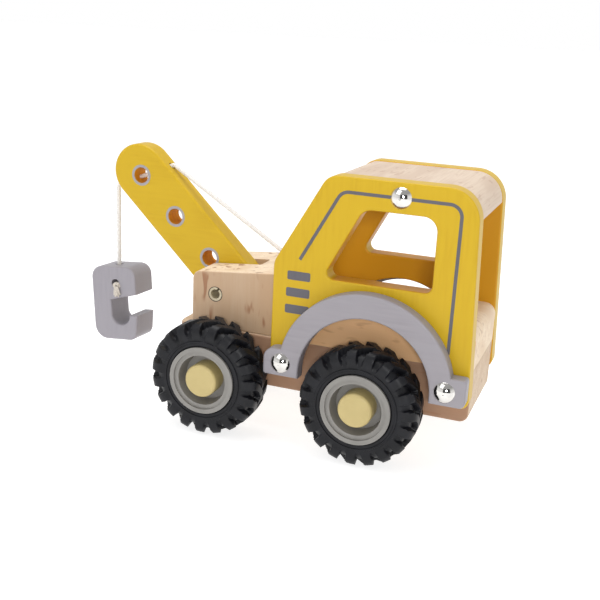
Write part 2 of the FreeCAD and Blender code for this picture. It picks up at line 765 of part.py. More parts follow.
def hook_block():
    """Its own origin is the mouth of the hole that the cord enters."""
    body = new_body("hook_block", "dims.hook_top_x", "0", "dims.hook_top_z", hook_rotation())
    sketch = new_sketch(body, "XZ_Plane", "Outline")
    lip = "dims.throat_back + 2 * dims.throat_rad"
    outline(
        sketch,
        [
            ("dims.hook_back", "0"),
            ("dims.hook_back", "dims.hook_bottom"),
            ("dims.hook_chin", "dims.hook_bottom"),
            ("dims.hook_nose", "dims.throat_mid_z"),
            (lip, "dims.throat_mid_z"),
            ("dims.throat_back", "dims.throat_mid_z"),
            ("dims.throat_back", "dims.throat_top_back"),
            ("dims.hook_nose", "dims.throat_top_nose"),
            ("dims.hook_nose", "0"),
        ],
        arcs={4: ("dims.throat_back + dims.throat_rad", "dims.throat_mid_z", -1, "DistanceY")},
    )
    pad(body, sketch, "dims.hook_depth", both_ways=True)
    crown = [(D["hook_back"], 0.0), (D["hook_nose"], 0.0)]
    round_edges(body, "Crown", "dims.hook_crown_rad", near_corner(1, crown))
    chin = [(D["hook_chin"], D["hook_bottom"])]
    round_edges(body, "Chin", "dims.hook_chin_rad", near_corner(1, chin))
    heel = [(D["hook_back"], D["hook_bottom"])]
    round_edges(body, "Heel", "dims.hook_heel_rad", near_corner(1, heel))
    faces = (-D["hook_depth"] / 2, D["hook_depth"] / 2)
    round_edges(body, "Eased", "dims.hook_ease_rad", on_plane(1, faces))
    drill(body, "CordHole", V(0, 0, 0.5), V(0, 0, -1), "dims.hook_cord_hole_rad", "dims.hook_cord_hole_depth + 0.5")
    cross = new_sketch(body, "XZ_Plane", "CrossHoleOutline")
    circle(cross, "dims.hook_cross_x", "dims.hook_cross_z", "dims.hook_cross_rad")
    cut_through(body, cross, "CrossHole")


def rod(start, end, radius):
    return Part.makeCylinder(radius, (end - start).Length, start, end - start)


def hook_knot():
    """The cord's knotted end, in the hook's frame: from the hole's mouth down to a tight bend where the
    two holes meet, along the cross-hole to its near mouth, the knot there, and two frayed tails."""
    r = D["cord_rad"]
    face = -D["hook_depth"] / 2
    down = hook_rotation().inverted().multVec(V(0, 0, -1))
    turn = down * (D["cord_hook_run"] + r)
    inner = V(1.0, 0, -8.7)
    mouth = V(D["hook_cross_x"], face + 0.9, D["hook_cross_z"] - 0.05)
    pieces = [rod(V(), turn, r), rod(turn, inner, r), rod(inner, mouth, r)]
    pieces += [Part.makeSphere(r, turn), Part.makeSphere(r, inner), Part.makeSphere(2.05, mouth)]
    tail_top = mouth + V(0, -1.95, -0.6)
    for side_step, length in ((-0.7, 5.8), (1.5, 4.8)):
        foot = tail_top + V(side_step, -0.15, -length)
        pieces += [rod(tail_top, foot, r * 0.75), Part.makeSphere(r * 0.75, foot)]
    knot = pieces[0].fuse(pieces[1:]).removeSplitter()
    new_shape("hook_knot", knot, D["hook_top_x"], 0.0, D["hook_top_z"], hook_rotation())


# ---------------------------------------------------------------- cord
def rounded_route(points, radii):
    """Straight runs through points, with an arc of the matching radius at each inner point."""
    edges = []
    start = points[0]
    for before, corner, after, radius in zip(points, points[1:], points[2:], radii):
        to_before = (before - corner).normalize()
        to_after = (after - corner).normalize()
        half_turn = (math.pi - to_before.getAngle(to_after)) / 2
        tangent = radius * math.tan(half_turn)
        first = corner + to_before * tangent
        last = corner + to_after * tangent
        centre_way = (to_before + to_after).normalize()
        middle = corner + centre_way * (radius / math.cos(half_turn) - radius)
        edges.append(Part.LineSegment(start, first).toShape())
        edges.append(Part.Arc(first, middle, last).toShape())
        start = last
    edges.append(Part.LineSegment(start, points[-1]).toShape())
    return Part.Wire(edges)


def cord_tube(label, points, radii):
    """A length of cord along a route of (x, z) points in the truck's middle plane."""
    points = [V(x, 0, z) for x, z in points]
    path = rounded_route(points, radii)
    section = Part.Wire(Part.Circle(points[0], points[1] - points[0], D["cord_rad"]).toShape())
    tube = path.makePipeShell([section], True, False)
    expected = math.pi * D["cord_rad"] ** 2 * path.Length
    print(f"{label}: length {path.Length:.2f}, bend radii {radii}, volume {tube.Volume / expected:.4f} of section x length")
    new_shape(label, tube)


def in_truck(point):
    """A point of the level boom's frame, where the raised boom has it, as (x, z)."""
    raised = FreeCAD.Rotation(V(0, 1, 0), D["boom_raise"]).multVec(point)
    return D["pin_x"] + raised.x, D["pin_z"] + raised.z


def cord():
    """The cord runs from its hole in the bonnet, tight, to the boom, through the boom's channel, and
    hangs from there to the mouth of the hook's hole."""
    entry, leave = channel_ends()
    out = (entry - leave).normalize()
    over_entry = in_truck(entry + out * D["cord_lift"])
    entry_x, entry_z = in_truck(entry)
    leave_x, leave_z = in_truck(leave)
    hang_x = D["hook_top_x"]
    slope = (entry_z - leave_z) / (entry_x - leave_x)
    turn_z = leave_z + slope * (hang_x - leave_x)
    hole_x = D["cord_hole_x"]
    hole_floor = D["hood_z_rear"] + 1 - D["cord_hole_depth"]
    bend = D["cord_entry_bend"]
    stay = [(hole_x, hole_floor), (hole_x, D["cord_anchor_z"]), over_entry, (entry_x, entry_z)]
    cord_tube("cord_stay", stay, [bend, bend])
    threaded = [(entry_x, entry_z), (hang_x, turn_z), (hang_x, D["cord_pivot_z"])]
    cord_tube("cord_in_boom", threaded, [D["cord_exit_bend"]])
    swing_z = D["cord_pivot_z"] - D["cord_neck"]
    cord_tube("cord_neck", [(hang_x, D["cord_pivot_z"]), (hang_x, swing_z)], [])
    link_z = D["hook_top_z"] + D["cord_link"]
    cord_tube("cord_drop", [(hang_x, swing_z), (hang_x, link_z)], [])
    cord_tube("cord_link", [(hang_x, link_z), (hang_x, D["hook_top_z"])], [])


# ---------------------------------------------------------------- the whole truck
chassis_board()
hood_block()
cab_floor_block()
roof_block()
for side_name, side_sign in SIDES.items():
    side_panel(side_name, side_sign)
    fender(side_name, side_sign)
    dome_nails(side_name, side_sign)

tyre_shapes = {sign: tyre_solid(sign) for sign in SIDES.values()}
for end_name, end_x in (("front", "0"), ("rear", "dims.wheelbase")):
    axle(f"axle_{end_name}", end_x)
    for side_name, side_sign in SIDES.items():
        wheel_parts(end_name, end_x, side_name, side_sign)

boom()
boom_roll_pin()
hook_block()
hook_knot()
cord()
doc.recompute()

for obj in doc.Objects:
    if "Invalid" in obj.State or "Error" in obj.State:
        raise RuntimeError(f"{obj.Label} is {obj.State}")
for part in PARTS:
    if part.Shape.isNull() or not part.Shape.isValid():
        raise RuntimeError(f"{part.Label} has no valid shape")

os.makedirs(PARTS_DIR, exist_ok=True)
for part in PARTS:
    part.Shape.exportStep(f"{PARTS_DIR}/{part.Label}.step")
    box = part.Shape.BoundBox
    print(f"{part.Label}: {len(part.Shape.Solids)} solid(s), {part.Shape.Volume:.0f} mm3, "
          f"x {box.XMin:.2f}..{box.XMax:.2f} y {box.YMin:.2f}..{box.YMax:.2f} z {box.ZMin:.2f}..{box.ZMax:.2f}")
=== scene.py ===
import json
import math

import bpy
from mathutils import Matrix, Vector


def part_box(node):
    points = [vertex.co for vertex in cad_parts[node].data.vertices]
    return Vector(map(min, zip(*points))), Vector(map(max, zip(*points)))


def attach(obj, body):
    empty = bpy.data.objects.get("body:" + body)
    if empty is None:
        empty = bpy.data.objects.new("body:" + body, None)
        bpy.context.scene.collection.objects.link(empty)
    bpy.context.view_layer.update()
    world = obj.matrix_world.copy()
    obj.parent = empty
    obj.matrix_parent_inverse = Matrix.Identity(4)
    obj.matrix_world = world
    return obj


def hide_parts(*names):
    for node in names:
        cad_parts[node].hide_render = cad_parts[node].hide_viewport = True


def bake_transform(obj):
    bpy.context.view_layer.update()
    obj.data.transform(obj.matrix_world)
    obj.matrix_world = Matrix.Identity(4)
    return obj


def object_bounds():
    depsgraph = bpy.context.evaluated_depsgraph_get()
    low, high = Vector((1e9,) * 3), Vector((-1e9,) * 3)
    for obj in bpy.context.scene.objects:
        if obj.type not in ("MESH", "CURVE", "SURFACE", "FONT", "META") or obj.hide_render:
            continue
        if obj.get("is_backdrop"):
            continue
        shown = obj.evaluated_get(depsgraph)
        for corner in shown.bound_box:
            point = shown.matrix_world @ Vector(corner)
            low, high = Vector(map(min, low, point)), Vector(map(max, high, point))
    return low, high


# The toy tow truck's looks: materials for the CAD frame, and the paint lines, the rings round the boom's
# holes, the lugged tyres, the cord and its knot as pieces of their own. Metres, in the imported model's
# frame.

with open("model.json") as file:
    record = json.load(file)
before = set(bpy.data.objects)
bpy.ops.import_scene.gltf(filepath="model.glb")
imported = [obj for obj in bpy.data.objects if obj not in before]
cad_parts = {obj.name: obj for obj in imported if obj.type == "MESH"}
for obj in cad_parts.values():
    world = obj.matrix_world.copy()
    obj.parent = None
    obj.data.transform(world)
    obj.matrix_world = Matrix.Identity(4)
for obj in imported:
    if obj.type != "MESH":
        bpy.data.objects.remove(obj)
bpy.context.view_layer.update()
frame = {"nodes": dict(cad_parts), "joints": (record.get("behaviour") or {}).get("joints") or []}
nodes = frame["nodes"]
joints = {joint["name"]: joint for joint in frame["joints"]}

MM = 0.001
FRONT_AXLE_X = joints["front_axle_spin"]["pos_m"][0]
REAR_AXLE_X = joints["rear_axle_spin"]["pos_m"][0]
PIN = Vector(joints["boom_tilt"]["pos_m"])
CORD_PIVOT = Vector(joints["cord_follow"]["pos_m"])
SIDES = {"left": -1, "right": 1}


def from_axle(x, z, y=0.0):
    """A point given in millimetres from the front axle's middle line, as part.py has it."""
    return Vector((FRONT_AXLE_X + x * MM, y * MM, z * MM))


# ---------------------------------------------------------------- shader nodes
def new_material(name, roughness, coat=0.0):
    """A material with its Principled shader, and a helper that adds nodes to it."""
    material = bpy.data.materials.new(name)
    material.use_nodes = True
    tree = material.node_tree
    shader = tree.nodes["Principled BSDF"]
    shader.inputs["Roughness"].default_value = roughness
    shader.inputs["Coat Weight"].default_value = coat
    shader.inputs["Coat Roughness"].default_value = 0.25

    def add(kind, settings=None, **inputs):
        node = tree.nodes.new(kind)
        for key, value in (settings or {}).items():
            setattr(node, key, value)
        for key, value in inputs.items():
            socket = node.inputs[key.replace("_", " ")]
            if isinstance(value, bpy.types.NodeSocket):
                tree.links.new(value, socket)
            else:
                socket.default_value = value
        return node

    return material, shader, add, tree.links


def stretched(add, along=0, share=1.0):
    """The object's own coordinates, scaled by share along one axis: 0 to 2 for X to Z."""
    scale = [1.0, 1.0, 1.0]
    scale[along] = share
    where = add("ShaderNodeTexCoord").outputs["Object"]
    return add("ShaderNodeMapping", Vector=where, Scale=scale).outputs["Vector"]


def noise(add, vector, scale, detail=2.0, distortion=0.0):
    made = add("ShaderNodeTexNoise", Vector=vector, Scale=scale, Detail=detail, Distortion=distortion)
    return made.outputs["Fac"]


def steps(add, value, low, high):
    """value mapped so that low gives 0 and high gives 1, smoothly."""
    settings = {"interpolation_type": "SMOOTHSTEP"}
    made = add("ShaderNodeMapRange", settings, Value=value)
    made.inputs["From Min"].default_value = low
    made.inputs["From Max"].default_value = high
    return made.outputs["Result"]


def mixed(add, links, share, first, second):
    """Mixes two colours; either may be a socket."""
    made = add("ShaderNodeMix", {"data_type": "RGBA"})
    slots = [s for s in made.inputs if s.type == "RGBA"]
    for socket, value in ((made.inputs[0], share), (slots[0], first), (slots[1], second)):
        if isinstance(value, bpy.types.NodeSocket):
            links.new(value, socket)
        elif socket is made.inputs[0]:
            socket.default_value = value
        else:
            socket.default_value = (*value, 1.0)
    return next(s for s in made.outputs if s.type == "RGBA")


def worked_out(add, links, operation, *values, kind="ShaderNodeMath", output=0):
    """One step of arithmetic on numbers or, with ShaderNodeVectorMath, on vectors; any may be a socket."""
    made = add(kind, {"operation": operation})
    for socket, value in zip(made.inputs, values):
        if isinstance(value, bpy.types.NodeSocket):
            links.new(value, socket)
        else:
            socket.default_value = value
    return made.outputs[output]


def bumped(add, links, shader, height, strength, distance):
    bump = add("ShaderNodeBump", Height=height, Strength=strength, Distance=distance)
    links.new(bump.outputs["Normal"], shader.inputs["Normal"])


# ---------------------------------------------------------------- materials
def beech(name, pale, tan, fleck, along, fleck_share, fleck_size=420.0, **side_grain_and_shade):
    """Bare sanded beech. along is the grain's axis: 0 to 2 for X to Z. The keyword arguments give a colour
    and its share for the faces square to an axis: partly those faces' own tone, with the grain cut another
    way through the rings, and partly painted shade, as those faces get less light."""
    material, shader, add, links = new_material(name, 0.55, 0.03)
    shader.inputs["Specular IOR Level"].default_value = 0.3
    figure = noise(add, stretched(add, along, 0.12), 120.0, 3.0, 0.6)
    fibre = noise(add, stretched(add, along, 0.035), 1400.0, 2.0)
    marks = noise(add, stretched(add, along, 0.22), fleck_size, 1.0, 0.4)
    patches = noise(add, stretched(add), 60.0, 1.0)
    base = mixed(add, links, steps(add, figure, 0.36, 0.68), pale, tan)
    surface_colour = mixed(add, links, steps(add, fibre, 0.42, 0.80), base, tan)
    # Painted shade: faces square to a given axis take a darker colour, as those sides get less light,
    # besides their own grain tone.
    facing = add("ShaderNodeSeparateXYZ", Vector=add("ShaderNodeNewGeometry").outputs["Normal"])
    for axis, (face_colour, face_share) in side_grain_and_shade.items():
        upright = steps(add, worked_out(add, links, "ABSOLUTE", facing.outputs[axis]), 0.3, 0.9)
        share = worked_out(add, links, "MULTIPLY", upright, face_share)
        surface_colour = mixed(add, links, share, surface_colour, face_colour)
    marked, patched = steps(add, marks, 0.58, 0.70), steps(add, patches, 0.42, 0.56)
    flecked = worked_out(add, links, "MULTIPLY", marked, patched)
    flecked = worked_out(add, links, "MULTIPLY", flecked, fleck_share)
    colour = mixed(add, links, flecked, surface_colour, fleck)
    links.new(colour, shader.inputs["Base Color"])
    bumped(add, links, shader, fibre, 0.10, 0.0004)
    return material


def away_from_window(add, links):
    """0 on a side panel's inside face and on the cut edges round its window, and 1 elsewhere."""
    place = add("ShaderNodeTexCoord").outputs["Object"]
    off_middle = add("ShaderNodeSeparateXYZ", Vector=place).outputs["Y"]
    off_middle = worked_out(add, links, "ABSOLUTE", off_middle)
    vectors = "ShaderNodeVectorMath"
    flat = worked_out(add, links, "MULTIPLY", place, (1, 0, 1), kind=vectors)
    reach = worked_out(add, links, "DISTANCE", flat, WINDOW_MIDDLE, kind=vectors, output="Value")
    off_inside = steps(add, off_middle, PANEL_INSIDE + 0.2 * MM, PANEL_INSIDE + 0.5 * MM)
    off_window = steps(add, reach, 29.5 * MM, 30.5 * MM)
    outside = steps(add, off_middle, PANEL_OUTSIDE - 0.6 * MM, PANEL_OUTSIDE - 0.2 * MM)
    off_both = worked_out(add, links, "MULTIPLY", off_inside, off_window)
    return worked_out(add, links, "MAXIMUM", off_both, outside)


def paint(name, colour, shade, roughness, along=2, warm=None):
    """Satin paint on wood: the grain just shows through it. warm, where given, is an oranger colour put on
    a side panel's inside face and on the cut edges round its window."""
    material, shader, add, links = new_material(name, roughness, 0.03)
    shader.inputs["Specular IOR Level"].default_value = 0.3
    grain = noise(add, stretched(add, along, 0.07), 700.0, 3.0)
    clouds = noise(add, stretched(add), 55.0, 2.0)
    worn = worked_out(add, links, "MULTIPLY", steps(add, grain, 0.35, 0.75), steps(add, clouds, 0.25, 0.75))
    painted = mixed(add, links, worn, colour, shade)
    if warm is not None:
        painted = mixed(add, links, away_from_window(add, links), warm, painted)
    links.new(painted, shader.inputs["Base Color"])
    bumped(add, links, shader, grain, 0.12, 0.0003)
    return material


def rubber(name):
    """Black rubber, a little dusty."""
    material, shader, add, links = new_material(name, 0.44)
    shader.inputs["Specular IOR Level"].default_value = 0.28
    speckle = noise(add, stretched(add), 2600.0, 3.0)
    dust = noise(add, stretched(add), 130.0, 3.0)
    black, dusty = (0.0040, 0.0042, 0.0060), (0.0080, 0.0084, 0.0115)
    colour = mixed(add, links, steps(add, dust, 0.35, 0.75), black, dusty)
    links.new(colour, shader.inputs["Base Color"])
    bumped(add, links, shader, speckle, 0.10, 0.0002)
    return material


def plastic(name, colour, shade, roughness):
    """Moulded plastic with faint clouds of a second shade."""
    material, shader, add, links = new_material(name, roughness)
    clouds = noise(add, stretched(add), 160.0, 2.0)
    fine = noise(add, stretched(add), 2200.0, 2.0)
    links.new(mixed(add, links, steps(add, clouds, 0.3, 0.8), colour, shade), shader.inputs["Base Color"])
    bumped(add, links, shader, fine, 0.05, 0.0002)
    return material


def metal(name, colour, roughness):
    """Bright metal with faint smears."""
    material, shader, add, links = new_material(name, roughness)
    shader.inputs["Metallic"].default_value = 1.0
    smear = noise(add, stretched(add), 300.0, 2.0)
    dull = tuple(c * 0.85 for c in colour)
    links.new(mixed(add, links, steps(add, smear, 0.4, 0.8), colour, dull), shader.inputs["Base Color"])
    rough = add("ShaderNodeMapRange", Value=smear)
    rough.inputs["To Min"].default_value = roughness * 0.8
    rough.inputs["To Max"].default_value = roughness * 1.3
    links.new(rough.outputs["Result"], shader.inputs["Roughness"])
    return material


def cotton(name, pale, dark):
    """Fluffy cotton yarn."""
    material, shader, add, links = new_material(name, 0.9)
    shader.inputs["Sheen Weight"].default_value = 0.2
    fluff = noise(add, stretched(add), 1800.0, 3.0)
    colour = mixed(add, links, steps(add, fluff, 0.3, 0.7), pale, dark)
    links.new(colour, shader.inputs["Base Color"])
    bumped(add, links, shader, fluff, 0.3, 0.0002)
    return material


panel_sides = [abs(c) for c in (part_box("side_panel_left")[0].y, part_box("side_panel_left")[1].y)]
PANEL_INSIDE, PANEL_OUTSIDE = min(panel_sides), max(panel_sides)
WINDOW_MIDDLE = from_axle(80.0, 90.0)

PALE_BEECH = (0.63, 0.49, 0.35)
TAN_BEECH = (0.53, 0.37, 0.235)
FLECK = (0.30, 0.135, 0.065)
# The side colours of the board, the floor block and the hood: partly their side grain's own tone, partly
# painted shade, as those sides get less light than the tops.
BOARD_SIDE_SHADED = (0.325, 0.178, 0.108)
FLOOR_SIDE_SHADED = (0.72, 0.42, 0.20)
HOOD_PALE = (0.80, 0.66, 0.49)
HOOD_TAN = (0.70, 0.53, 0.36)
HOOD_SIDE_SHADED = (0.415, 0.262, 0.155)
YELLOW = (0.560, 0.362, 0.009)
YELLOW_SHADE = (0.510, 0.318, 0.006)
YELLOW_EDGE = (0.530, 0.248, 0.005)
GREY = (0.294, 0.276, 0.298)
GREY_SHADE = (0.264, 0.246, 0.266)

# A node gets the look of the first name here that its own name starts with.
looks = {
    # Each block's Y faces take its side colour, which holds painted shade.
    "chassis_board": beech("BeechBoard", PALE_BEECH, TAN_BEECH, FLECK, 0, 0.45, Y=(BOARD_SIDE_SHADED, 0.9)),
    "hood_block": beech("BeechHood", HOOD_PALE, HOOD_TAN, FLECK, 2, 0.8, 300.0, Y=(HOOD_SIDE_SHADED, 0.75)),
    "cab_floor_block": beech("BeechFloor", HOOD_PALE, HOOD_TAN, FLECK, 0, 0.4, Y=(FLOOR_SIDE_SHADED, 0.9)),
    "roof_block": beech("BeechRoof", (0.64, 0.52, 0.41), (0.55, 0.42, 0.32), FLECK, 1, 0.3),
    "side_panel": paint("YellowPaint", YELLOW, YELLOW_SHADE, 0.42, 2, YELLOW_EDGE),
    "boom_roll_pin": plastic("PinYellowZinc", (0.60, 0.52, 0.36), (0.48, 0.41, 0.27), 0.32),
    "boom": paint("YellowBoom", YELLOW, YELLOW_SHADE, 0.42, 0),
    "fender": paint("GreyPaint", GREY, GREY_SHADE, 0.45, 0),
    "hook_block": paint("GreyHook", (0.315, 0.298, 0.328), (0.285, 0.268, 0.295), 0.45),
    "dome_nails": metal("NailNickel", (0.76, 0.74, 0.71), 0.10),
    "axle": metal("AxleSteel", (0.55, 0.55, 0.56), 0.30),
    "tyre": rubber("TyreRubber"),
    "rim": plastic("RimPlastic", (0.232, 0.222, 0.206), (0.205, 0.196, 0.182), 0.42),
    "hub_cap": plastic("CapYellow", (0.495, 0.395, 0.168), (0.45, 0.355, 0.145), 0.42),
}
line_paint = paint("LineGrey", (0.115, 0.11, 0.125), (0.10, 0.095, 0.105), 0.5)
ring_paint = paint("RingGrey", (0.34, 0.32, 0.33), (0.29, 0.27, 0.28), 0.5)
bore_paint = paint("BoreAmber", (0.66, 0.275, 0.002), (0.46, 0.17, 0.002), 0.8)
# A near-black paint for the painted shadow in the gap round the boom's pin.
painted_gap_shadow = paint("PinGapShadow", (0.05, 0.035, 0.025), (0.04, 0.03, 0.02), 0.7)
cord_look = cotton("CottonCord", (0.80, 0.78, 0.75), (0.68, 0.65, 0.61))
# The knot's cotton is darker and yellower than the cord's: painted shade, as the knot sits on the hook's
# shaded face, and partly the frayed ends' own greyer, yellower colour.
knot_greyed_and_shaded_look = cotton("KnotCottonGreyedShaded", (0.66, 0.61, 0.54), (0.46, 0.41, 0.35))

for name, node in nodes.items():
    look = next((made for start, made in looks.items() if name.startswith(start)), None)
    if look is not None:
        node.data.materials.clear()
        node.data.materials.append(look)


# ---------------------------------------------------------------- paint lines
def mesh_piece(name, vertices, side_grain_and_shade, material, body=None):
    """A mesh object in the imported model's frame, riding on a body."""
    mesh = bpy.data.meshes.new(name)
    mesh.from_pydata([tuple(v) for v in vertices], [], side_grain_and_shade)
    mesh.update()
    mesh.materials.append(material)
    piece = bpy.data.objects.new(name, mesh)
    bpy.context.scene.collection.objects.link(piece)
    if body is not None:
        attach(piece, body)
    return piece


def smoothed(mesh):
    mesh.polygons.foreach_set("use_smooth", [True] * len(mesh.polygons))


ARC_STEPS = 10


def rounded_line(corners, radii):
    """Points along straight runs in the XZ plane, with an arc of each radius at each inner corner."""
    line = [corners[0]]
    for before, corner, after, radius in zip(corners, corners[1:], corners[2:], radii):
        back = (before - corner).normalized()
        ahead = (after - corner).normalized()
        half_turn = (math.pi - back.angle(ahead)) / 2
        centre = corner + (back + ahead).normalized() * (radius / math.cos(half_turn))
        first = corner + back * radius * math.tan(half_turn) - centre
        last = corner + ahead * radius * math.tan(half_turn) - centre
        for i in range(ARC_STEPS + 1):
            way = first.lerp(last, i / ARC_STEPS).normalized()
            line.append(centre + way * radius)
    line.append(corners[-1])
    return line


PAINT_THICK = 0.06 * MM


def stripe(name, line, width, side):
    """A painted line of constant width on one side panel's outer face."""
    y = side * (PANEL_OUTSIDE + PAINT_THICK)
    vertices, side_grain_and_shade = [], []
    for i, point in enumerate(line):
        ahead = line[min(i + 1, len(line) - 1)] - line[max(i - 1, 0)]
        across = Vector((-ahead.z, 0, ahead.x)).normalized() * width / 2
        vertices += [Vector((p.x, y, p.z)) for p in (point + across, point - across)]
    for i in range(len(line) - 1):
        quad = (2 * i, 2 * i + 1, 2 * i + 3, 2 * i + 2)
        side_grain_and_shade.append(quad if side > 0 else quad[::-1])
    return mesh_piece(name, vertices, side_grain_and_shade, line_paint, "chassis")


CORNER_STEPS = 5


def bar(name, low, high, corner, side):
    """A painted bar with rounded corners on one side panel's outer face."""
    y = side * (PANEL_OUTSIDE + PAINT_THICK)
    left, right = low.x + corner, high.x - corner
    bottom, top = low.z + corner, high.z - corner
    vertices = []
    for quarter, (x, z) in enumerate([(right, top), (left, top), (left, bottom), (right, bottom)]):
        for i in range(CORNER_STEPS + 1):
            angle = math.radians(90 * quarter + 90 * i / CORNER_STEPS)
            vertices.append(Vector((x + corner * math.cos(angle), y, z + corner * math.sin(angle))))
    face = tuple(range(len(vertices)))
    side_grain_and_shade = [face[::-1] if side > 0 else face]
    return mesh_piece(name, vertices, side_grain_and_shade, line_paint, "chassis")


STRIPE_WIDTH = 1.4 * MM
STRIPE_CORNERS = [
    from_axle(38.7, 83.4),
    from_axle(55.6, 114.3),
    from_axle(105.4, 113.9),
    from_axle(105.2, 52.4),
]
STRIPE_RADII = [5.0 * MM, 5.0 * MM]
# Each vent bar's front end and middle height. They end at one upright.
VENTS = ((33.4, 76.1), (33.1, 68.7), (32.9, 61.2))
VENT_END = 43.8
VENT_HALF = 1.95
VENT_CORNER = 0.7 * MM
for side_name, side in SIDES.items():
    stripe(f"pinstripe_{side_name}", rounded_line(STRIPE_CORNERS, STRIPE_RADII), STRIPE_WIDTH, side)
    for number, (start, height) in enumerate(VENTS, start=1):
        low = from_axle(start, height - VENT_HALF)
        high = from_axle(VENT_END, height + VENT_HALF)
        bar(f"vent_bar_{side_name}_{number}", low, high, VENT_CORNER, side)


# ---------------------------------------------------------------- rings round the boom's holes
BOOM_RAISE = math.radians(44.0)
BOOM_HALF_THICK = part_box("boom")[1].y
HOLE_RAD = 3.75 * MM
RING_RAD = 5.0 * MM
FIRST_HOLE_RUN = 16.7
HOLE_STEP = 25.65
HOLE_RUNS = [(FIRST_HOLE_RUN + HOLE_STEP * i) * MM for i in range(3)]


def boom_point(run, up=0.0):
    """A point of the boom's middle plane: run from its pin towards the tip, up from its middle line."""
    out = Vector((-math.cos(BOOM_RAISE), 0, math.sin(BOOM_RAISE)))
    over = Vector((math.sin(BOOM_RAISE), 0, math.cos(BOOM_RAISE)))
    return PIN + out * run + over * up


RING_TURNS = 48


def circle_point(centre, radius, i, y):
    """The i-th of RING_TURNS points round a circle square to Y."""
    angle = 2 * math.pi * i / RING_TURNS
    return Vector((centre.x + radius * math.cos(angle), y, centre.z + radius * math.sin(angle)))


def flat_ring(name, centre, y, radii, look, body):
    """A painted ring square to Y, between two radii, facing away from the truck's middle plane."""
    vertices, side_grain_and_shade = [], []
    for i in range(RING_TURNS):
        vertices += [circle_point(centre, radius, i, y) for radius in radii]
        j = (i + 1) % RING_TURNS
        quad = (2 * i, 2 * i + 1, 2 * j + 1, 2 * j)
        side_grain_and_shade.append(quad[::-1] if y > 0 else quad)
    mesh_piece(name, vertices, side_grain_and_shade, look, body)


def bore_lining(name, centre):
    """The amber-coloured wall of one of the boom's holes, just inside the CAD's own."""
    reach = BOOM_HALF_THICK - 0.05 * MM
    radius = HOLE_RAD - 0.04 * MM
    vertices, side_grain_and_shade = [], []
    for i in range(RING_TURNS):
        vertices += [circle_point(centre, radius, i, y) for y in (-reach, reach)]
        j = (i + 1) % RING_TURNS
        side_grain_and_shade.append((2 * i, 2 * j, 2 * j + 1, 2 * i + 1))
    mesh_piece(name, vertices, side_grain_and_shade, bore_paint, "boom")


for number, run in enumerate(HOLE_RUNS, start=1):
    centre = boom_point(run)
    bore_lining(f"boom_bore_{number}", centre)
    for side_name, side in SIDES.items():
        y = side * (BOOM_HALF_THICK + PAINT_THICK)
        radii = (HOLE_RAD + 0.02 * MM, RING_RAD)
        flat_ring(f"boom_ring_{number}_{side_name}", centre, y, radii, ring_paint, "boom")

# Painted shadow: a dark ring round the boom's pin, where it ends in the bonnet's sides, put there for the
# shade in the gap round it.
PIN_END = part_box("boom_roll_pin")[1].y
PIN_RAD = 3.2 * MM
for side_name, side in SIDES.items():
    y = side * (PIN_END + PAINT_THICK)
    radii = (PIN_RAD, PIN_RAD + 0.35 * MM)
    flat_ring(f"pin_gap_shadow_{side_name}", PIN, y, radii, painted_gap_shadow, "chassis")


# ---------------------------------------------------------------- tyres
# Half of a tyre's section, from its bead to its middle: radius and distance in from the side wall, in
# millimetres, between the lugs and on top of them.
TYRE_SECTION = [
    ((14.3, 1.3), (14.3, 1.3)),
    ((15.5, 1.1), (15.5, 1.1)),
    ((15.9, 0.55), (15.9, 0.55)),
    ((17.1, 0.45), (17.1, 0.45)),
    ((17.3, 0.08), (17.3, 0.08)),
    ((18.0, 0.08), (18.0, 0.08)),
    ((18.2, 0.5), (18.2, 0.5)),
    ((19.4, 0.6), (19.4, 0.5)),
    ((20.2, 0.9), (20.3, 0.2)),
    ((21.0, 1.5), (21.6, 0.1)),
    ((21.8, 2.2), (23.2, 0.35)),
    ((22.5, 2.9), (24.4, 1.0)),
    ((22.9, 3.5), (25.3, 2.0)),
    ((23.2, 4.1), (25.8, 3.1)),
    ((23.3, 4.8), (25.95, 4.2)),
]
TYRE_WIDTH = 18.0
TYRE_INNER_Y = 28.5
TREAD_RAD = 23.4
LUG_RAD = 26.0
MIDDLE_STEPS = 16
LUGS = 19
LUG_SWEEP = math.radians(46.0)
LUG_HALF = 2.45
LUG_EDGE = 0.35
# How far from the tyre's middle a lug starts, on the other shoulder's side, and stops sweeping back.
LUG_START = -0.9
SWEEP_END = 5.6
STEPS_AROUND = LUGS * 22


def lug_here(turn, from_middle, radius, shift):
    """How much of a lug, 0 to 1, stands at an angle round the tyre, on one shoulder."""
    reach = min(from_middle, SWEEP_END)
    swept = math.tan(LUG_SWEEP) * reach * LUGS / (2 * math.pi * LUG_RAD)
    centre = turn * LUGS / (2 * math.pi) - shift - swept
    off = abs(centre - round(centre)) * 2 * math.pi * radius / LUGS
    share = min(max((LUG_HALF - off) / LUG_EDGE, 0.0), 1.0)
    return share if from_middle > LUG_START else 0.0


